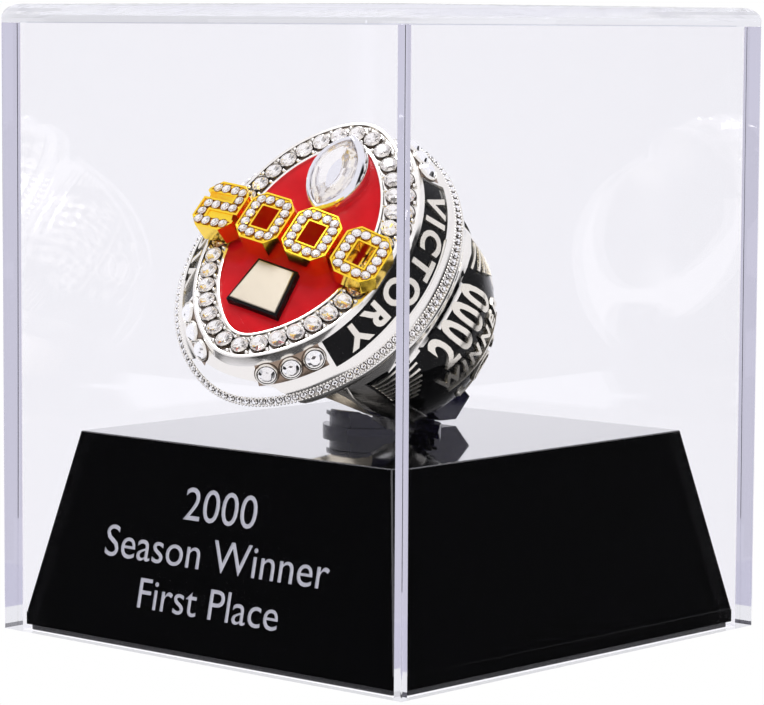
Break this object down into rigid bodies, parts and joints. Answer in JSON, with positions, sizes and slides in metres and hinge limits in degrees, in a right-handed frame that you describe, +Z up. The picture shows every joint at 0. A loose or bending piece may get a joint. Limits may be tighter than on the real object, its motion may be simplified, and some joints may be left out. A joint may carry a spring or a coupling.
{
  "type": "display case",
  "caption": "Small clear acrylic display case: lift-off cover over a glossy black stand with a turning holder that carries a large prize ring.",
  "frame": {"origin": "middle of the underside of the case, where it rests on a shelf", "axes": "+Z up through the lid; the engraved side of the stand faces -Y; +X to the right of someone facing that side"},
  "size_m": [0.06, 0.06, 0.07],
  "materials": {
    "clear_acrylic": "polished clear acrylic",
    "stand_black": "polished black acrylic",
    "floor_plastic": "moulded, satin",
    "felt": "self-adhesive felt",
    "screw_steel": "zinc plated",
    "holder_black": "polished, very dark indigo",
    "liner": "thin flocked strip",
    "washer": "natural nylon",
    "ring_silver": "polished silver-coloured plating",
    "numeral_gold": "polished gold-coloured plating",
    "red_enamel": "glossy epoxy enamel",
    "black_enamel": "glossy epoxy enamel",
    "clear_stone": "cut and polished"
  },
  "bodies": {
    "base": {"stand_shell": "stand_black", "stand_floor": "floor_plastic", "floor_screws": "screw_steel", "felt_pad": "felt"},
    "cover": {"cover_lid_panel": "clear_acrylic", "cover_front_panel": "clear_acrylic", "cover_rear_panel": "clear_acrylic", "cover_left_panel": "clear_acrylic", "cover_right_panel": "clear_acrylic"},
    "holder": {"holder_plug": "holder_black", "nest_liner_rear": "liner", "nest_liner_floor": "liner", "holder_washer": "washer", "holder_screw": "screw_steel"},
    "ring": {"ring_casting": "ring_silver", "enamel_field": "red_enamel", "channel_enamel_left": "black_enamel", "channel_enamel_right": "black_enamel", "shoulder_enamel_left": "black_enamel", "shoulder_enamel_right": "black_enamel", "border_stones": "clear_stone", "accent_stones": "clear_stone", "numeral_1": "numeral_gold", "numeral_2": "numeral_gold", "numeral_3": "numeral_gold", "numeral_4": "numeral_gold", "numeral_stones": "clear_stone", "gem_setting": "ring_silver", "clear_gem": "clear_stone", "keystone_plate": "ring_silver"}
  },
  "joints": [
    {"name": "cover_lift", "type": "slide", "parent": "base", "child": "cover", "axis": [0, 0, 1], "range_m": [0, 0.08]},
    {"name": "holder_turn", "type": "hinge", "parent": "base", "child": "holder", "pos_m": [0, 0, 0.0225], "axis": [0, 0, 1], "continuous": true},
    {"name": "ring_draw", "type": "slide", "parent": "holder", "child": "ring", "axis": [-0.0531, -0.7412, 0.6691], "range_m": [0, 0.0029]}
  ]
}
